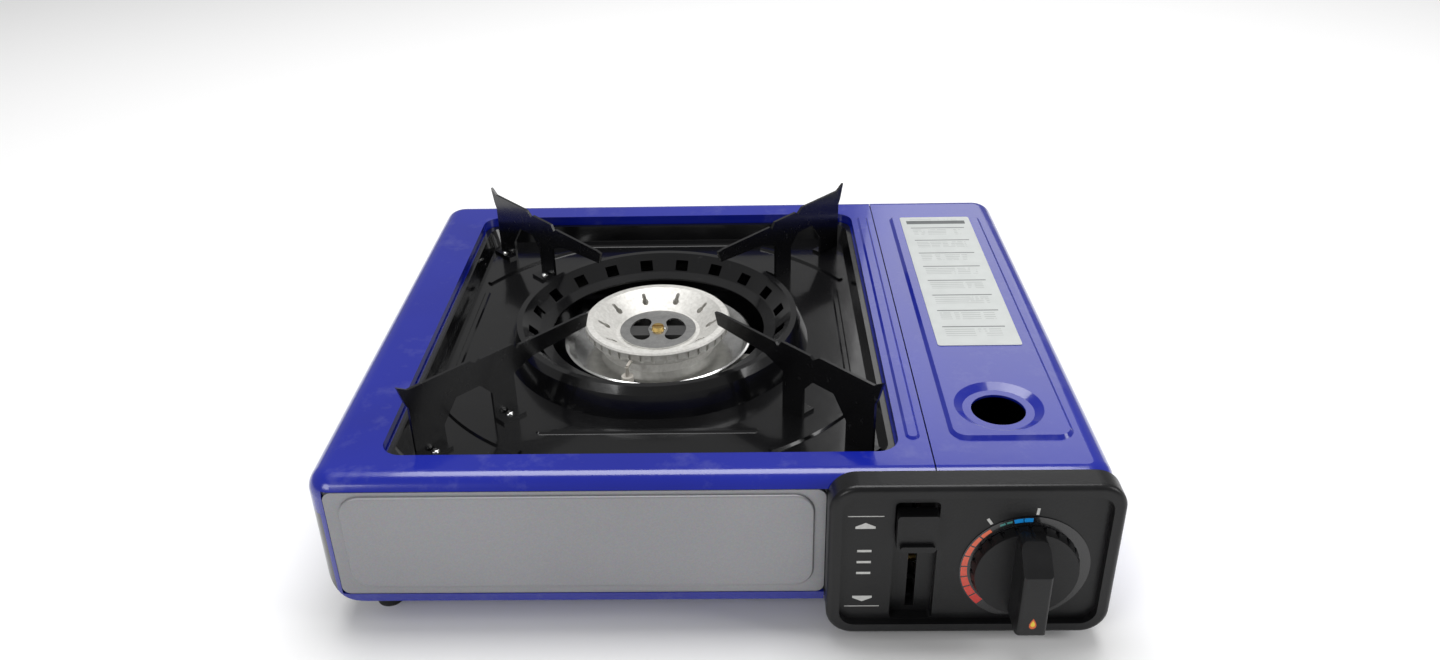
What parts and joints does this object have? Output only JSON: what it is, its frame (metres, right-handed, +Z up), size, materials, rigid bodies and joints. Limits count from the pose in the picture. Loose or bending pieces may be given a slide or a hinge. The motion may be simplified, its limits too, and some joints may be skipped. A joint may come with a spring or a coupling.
{
  "type": "butane cassette stove",
  "caption": "Low portable cooker with a round burner in a square drip tray, blade pan supports, a hinged cartridge bay lid and a front panel with lever and knob.",
  "frame": {"origin": "on the surface it stands on, under the middle of the bounding box", "axes": "+X to the right seen from the controls, +Y to the back, +Z up"},
  "size_m": [0.343, 0.3218, 0.106],
  "materials": {
    "blue_enamel": "gloss blue paint on pressed steel",
    "silver_panel": "satin silver-grey paint",
    "black_enamel": "gloss black enamel",
    "black_plastic": "satin black moulding",
    "dial_print": "gloss black printed plate",
    "label_foil": "thin pale foil label",
    "cast_aluminium": "sand-blasted casting",
    "plated_steel": "zinc-plated sheet",
    "bright_steel": "bright plated steel",
    "brass_part": "turned brass",
    "rubber_part": "black rubber",
    "white_ceramic": "unglazed white ceramic",
    "wire_sleeve": "silicone sleeve"
  },
  "bodies": {
    "case": {"base_shell": "blue_enamel", "top_plate": "blue_enamel", "front_panel": "silver_panel", "lid_hinge_leaves": "plated_steel", "lid_hinge_pins": "bright_steel", "front_foot_left": "rubber_part", "front_foot_right": "rubber_part", "rear_foot_left": "rubber_part", "rear_foot_right": "rubber_part", "burner_head": "cast_aluminium", "burner_plate": "bright_steel", "burner_screw": "brass_part", "burner_cup": "bright_steel", "venturi_tube": "cast_aluminium", "burner_bracket": "plated_steel", "gas_jet": "brass_part", "gas_tube": "brass_part", "electrode": "white_ceramic", "electrode_bracket": "plated_steel", "ignition_wire": "wire_sleeve", "control_panel": "black_plastic", "dial_plate": "dial_print", "igniter_body": "black_plastic", "lever_pivot_pin": "bright_steel", "heat_shield": "plated_steel", "regulator_body": "cast_aluminium", "regulator_cover": "plated_steel", "regulator_bracket": "plated_steel", "cartridge_socket": "brass_part", "socket_seal": "rubber_part", "collar_pin": "plated_steel", "cartridge_cradle": "plated_steel", "pusher_guide": "plated_steel", "rear_screws": "bright_steel"},
    "lid": {"cartridge_lid": "blue_enamel", "lid_label": "label_foil"},
    "knob": {"control_knob": "black_plastic", "valve_spindle": "brass_part"},
    "lever": {"gas_lever": "black_plastic"},
    "pusher": {"cartridge_pusher": "plated_steel"},
    "plunger": {"igniter_plunger": "bright_steel"},
    "tray": {"drip_tray": "black_enamel", "pan_support_front_left": "black_enamel", "pan_support_front_right": "black_enamel", "pan_support_rear_left": "black_enamel", "pan_support_rear_right": "black_enamel", "tray_rivets": "bright_steel"}
  },
  "joints": [
    {"name": "lid_hinge", "type": "hinge", "parent": "case", "child": "lid", "pos_m": [0.1696, 0.015, 0.062], "axis": [0, 1, 0], "range_deg": [0, 105]},
    {"name": "knob_turn", "type": "hinge", "parent": "case", "child": "knob", "pos_m": [0.1335, -0.142, 0.039], "axis": [0, -1, 0], "range_deg": [0, 150]},
    {"name": "plunger_stroke", "type": "slide", "parent": "case", "child": "plunger", "axis": [-1, 0, 0], "range_m": [0, 0.005]},
    {"name": "lever_press", "type": "hinge", "parent": "case", "child": "lever", "pos_m": [0.08675, -0.055, 0.042], "axis": [1, 0, 0], "range_deg": [0, 24]},
    {"name": "pusher_slide", "type": "slide", "parent": "case", "child": "pusher", "axis": [0, -1, 0], "range_m": [0, 0.008]},
    {"name": "tray_lift", "type": "slide", "parent": "case", "child": "tray", "axis": [0, 0, 1], "range_m": [0, 0.06]}
  ],
  "couplings": [
    {"joint": "plunger_stroke", "follows": "knob_turn", "m_per_rad": 0.0019},
    {"joint": "pusher_slide", "follows": "lever_press", "m_per_rad": 0.019}
  ]
}
